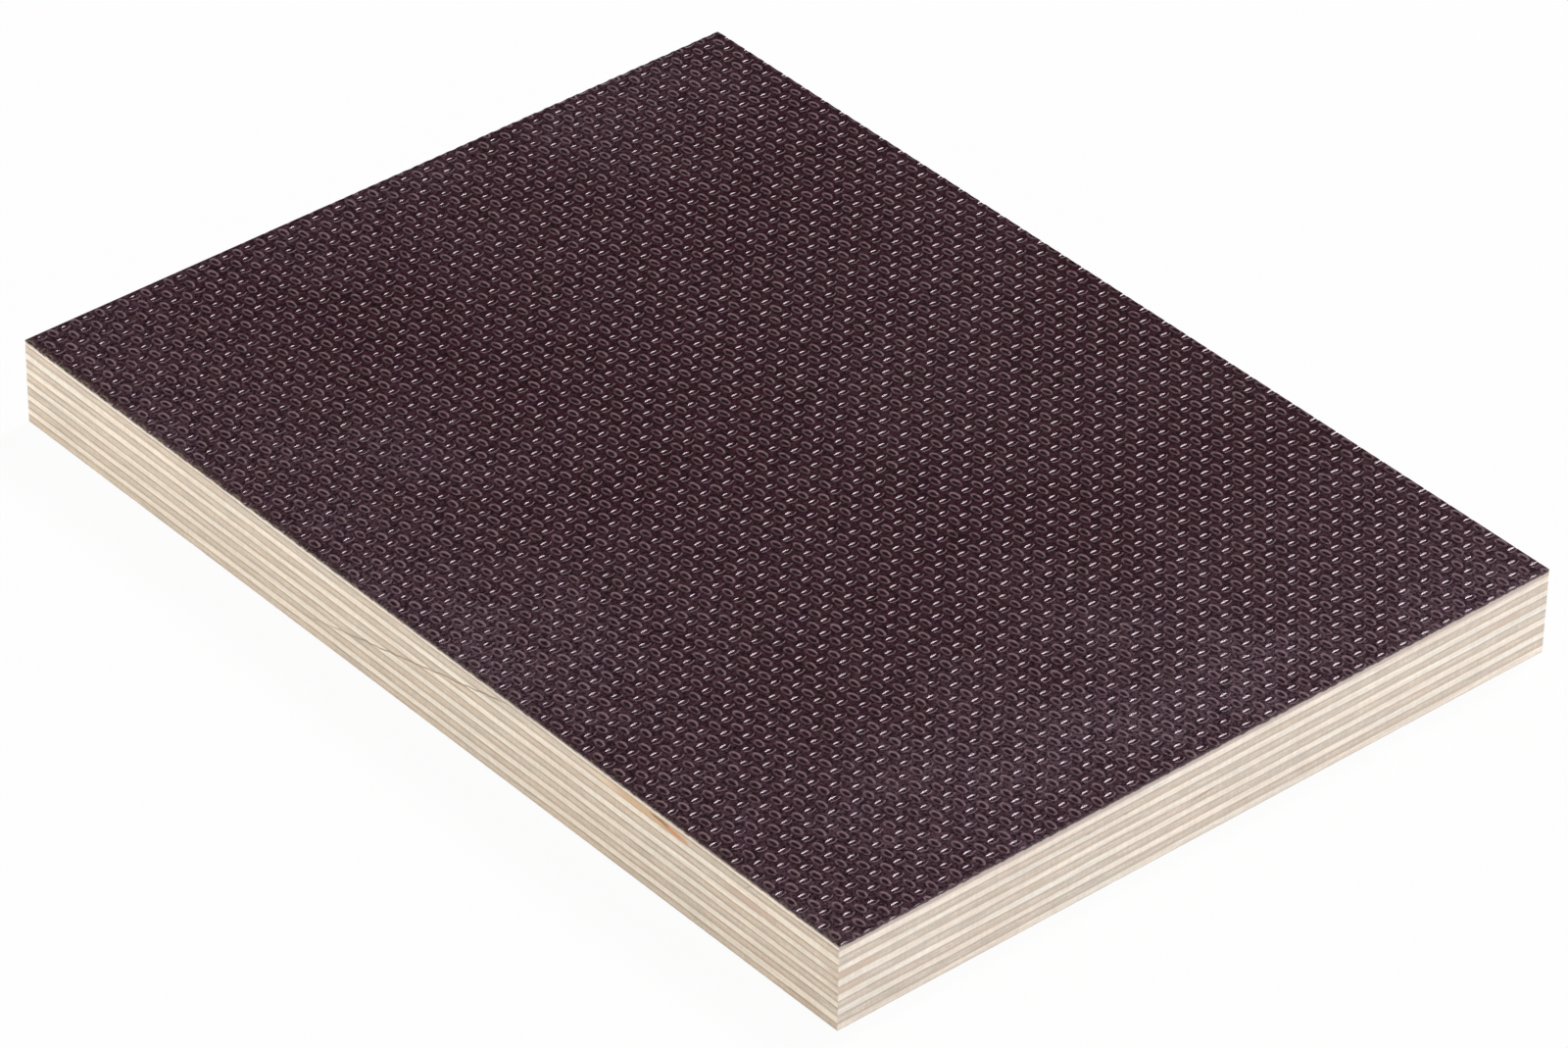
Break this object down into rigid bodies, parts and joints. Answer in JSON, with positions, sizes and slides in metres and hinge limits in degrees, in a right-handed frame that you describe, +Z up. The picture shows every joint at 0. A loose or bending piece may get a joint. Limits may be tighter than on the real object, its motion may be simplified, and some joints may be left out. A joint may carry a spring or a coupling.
{
  "type": "plywood sheet",
  "caption": "Small rectangular board of cross-laid birch veneers, with a dark resin grip film pressed with a wire-mesh pattern on top and a thin smooth film underneath.",
  "frame": {"origin": "middle of the underside, on the level floor that the board lies on", "axes": "+X along the long sawn edge, +Y along the short sawn edge, +Z up through the thickness to the grip face"},
  "size_m": [0.1876, 0.1366, 0.015],
  "materials": {
    "grip_film": "dark brown resin film, satin, pressed with a wire-mesh pattern",
    "smooth_film": "dark brown resin film, smooth satin",
    "birch_along_x": "bare sawn birch veneer, grain along X",
    "birch_along_y": "bare sawn birch veneer, grain along Y"
  },
  "bodies": {
    "root": {"mesh_film": "grip_film", "face_veneer": "birch_along_x", "crossband_1": "birch_along_y", "centre_ply_1": "birch_along_x", "crossband_2": "birch_along_y", "centre_ply_2": "birch_along_x", "crossband_3": "birch_along_y", "centre_ply_3": "birch_along_x", "crossband_4": "birch_along_y", "centre_ply_4": "birch_along_x", "crossband_5": "birch_along_y", "centre_ply_5": "birch_along_x", "crossband_6": "birch_along_y", "back_film": "smooth_film"}
  },
  "joints": []
}
